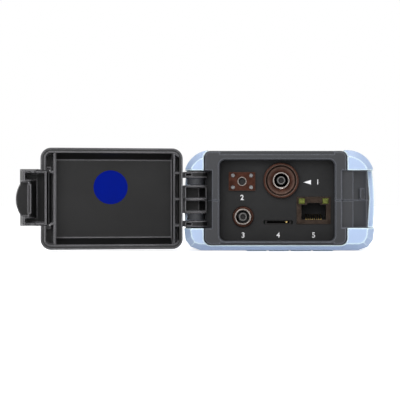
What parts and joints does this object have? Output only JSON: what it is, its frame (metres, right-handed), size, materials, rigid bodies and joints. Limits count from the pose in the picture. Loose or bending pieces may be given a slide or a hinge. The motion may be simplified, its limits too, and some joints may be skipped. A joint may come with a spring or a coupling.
{
  "type": "optical time domain reflectometer",
  "caption": "Palm-size fibre tester in a rubber boot, with a screen, a keypad and a recessed port panel under a hinged, latched cover.",
  "frame": {"origin": "centre of the rubber strap on the back, on the plane that the tester rests on, half-way along its length", "axes": "+X across the tester, away from the cover hinge; +Y from the port end to the far end; +Z from the back to the screen side"},
  "size_m": [0.1704, 0.1963, 0.049],
  "materials": {
    "housing_grey": "fine spark-eroded texture, dark grey",
    "cover_grey": "fine spark-eroded texture, near-black grey",
    "boot_rubber": "pale blue-grey, satin",
    "panel_black": "fine matt black",
    "port_metal": "turned, warm brown tint",
    "bright_metal": "bright nickel plating",
    "port_ceramic": "polished zirconia",
    "steel": "plain steel",
    "insert_black": "moulded black",
    "light_pipe": "clear tinted yellow-green",
    "gold": "gold-plated spring contacts",
    "seal_black": "soft black",
    "sticker_blue": "deep blue, printed solid",
    "screen_glass": "black-backed cover glass",
    "key_grey": "satin silicone",
    "key_blue": "satin silicone",
    "key_red": "satin silicone",
    "board_green": "solder mask",
    "module_metal": "bead-blasted",
    "fibre_yellow": "fibre coating",
    "battery_wrap": "shrink wrap"
  },
  "bodies": {
    "housing": {"front_shell": "housing_grey", "back_shell": "housing_grey", "rubber_boot": "boot_rubber", "port_panel": "panel_black", "otdr_flange": "port_metal", "otdr_barrel": "bright_metal", "otdr_sleeve": "port_ceramic", "opm_flange": "port_metal", "opm_screws": "steel", "opm_sleeve": "bright_metal", "opm_detector": "module_metal", "vfl_nut": "port_metal", "vfl_barrel": "bright_metal", "vfl_sleeve": "port_ceramic", "vfl_laser": "module_metal", "rj45_shield": "port_metal", "rj45_insert": "insert_black", "rj45_lights": "light_pipe", "rj45_contacts": "gold", "card_socket": "insert_black", "screen_lens": "screen_glass", "display_module": "module_metal", "keypad_mat": "seal_black", "main_board": "board_green", "port_board": "board_green", "optical_module": "module_metal", "fibre_tray": "insert_black", "fibre_coil": "fibre_yellow", "battery_pack": "battery_wrap", "battery_cover": "housing_grey", "case_screws": "steel", "stand_pin": "steel", "charge_socket": "insert_black", "usb_socket": "steel"},
    "port_cover": {"cover_shell": "cover_grey", "cover_seal": "seal_black", "cover_sticker": "sticker_blue", "hinge_pins": "steel", "latch_pin": "steel"},
    "latch": {"latch_flap": "cover_grey"},
    "folding_stand": {"stand": "cover_grey"},
    "socket_flap": {"side_flap": "boot_rubber"},
    "key_menu": {"key_menu": "key_grey"},
    "key_test": {"key_test": "key_grey"},
    "key_esc": {"key_esc": "key_grey"},
    "key_ok": {"key_ok": "key_blue"},
    "key_up": {"key_up": "key_grey"},
    "key_down": {"key_down": "key_grey"},
    "key_left": {"key_left": "key_grey"},
    "key_right": {"key_right": "key_grey"},
    "key_power": {"key_power": "key_red"},
    "key_light": {"key_light": "key_grey"}
  },
  "joints": [
    {"name": "cover_hinge", "type": "hinge", "parent": "housing", "child": "port_cover", "pos_m": [-0.0397, -0.0892, 0.0247], "axis": [0, 0, 1], "range_deg": [0, 170]},
    {"name": "latch_hinge", "type": "hinge", "parent": "port_cover", "child": "latch", "pos_m": [-0.10998, -0.0891, 0.0247], "axis": [0, 0, 1], "range_deg": [0, 12]},
    {"name": "stand_hinge", "type": "hinge", "parent": "housing", "child": "folding_stand", "pos_m": [0, -0.063, 0.0032], "axis": [-1, 0, 0], "range_deg": [0, 60]},
    {"name": "flap_hinge", "type": "hinge", "parent": "housing", "child": "socket_flap", "pos_m": [0.0457, 0.0662, 0.019], "axis": [0, 0, 1], "range_deg": [0, 110]},
    {"name": "key_menu_press", "type": "slide", "parent": "housing", "child": "key_menu", "axis": [0, 0, -1], "range_m": [0, 0.0008], "stiffness_N_per_m": 400},
    {"name": "key_test_press", "type": "slide", "parent": "housing", "child": "key_test", "axis": [0, 0, -1], "range_m": [0, 0.0008], "stiffness_N_per_m": 400},
    {"name": "key_esc_press", "type": "slide", "parent": "housing", "child": "key_esc", "axis": [0, 0, -1], "range_m": [0, 0.0008], "stiffness_N_per_m": 400},
    {"name": "key_ok_press", "type": "slide", "parent": "housing", "child": "key_ok", "axis": [0, 0, -1], "range_m": [0, 0.0008], "stiffness_N_per_m": 400},
    {"name": "key_up_press", "type": "slide", "parent": "housing", "child": "key_up", "axis": [0, 0, -1], "range_m": [0, 0.0008], "stiffness_N_per_m": 400},
    {"name": "key_down_press", "type": "slide", "parent": "housing", "child": "key_down", "axis": [0, 0, -1], "range_m": [0, 0.0008], "stiffness_N_per_m": 400},
    {"name": "key_left_press", "type": "slide", "parent": "housing", "child": "key_left", "axis": [0, 0, -1], "range_m": [0, 0.0008], "stiffness_N_per_m": 400},
    {"name": "key_right_press", "type": "slide", "parent": "housing", "child": "key_right", "axis": [0, 0, -1], "range_m": [0, 0.0008], "stiffness_N_per_m": 400},
    {"name": "key_power_press", "type": "slide", "parent": "housing", "child": "key_power", "axis": [0, 0, -1], "range_m": [0, 0.0008], "stiffness_N_per_m": 400},
    {"name": "key_light_press", "type": "slide", "parent": "housing", "child": "key_light", "axis": [0, 0, -1], "range_m": [0, 0.0008], "stiffness_N_per_m": 400}
  ]
}
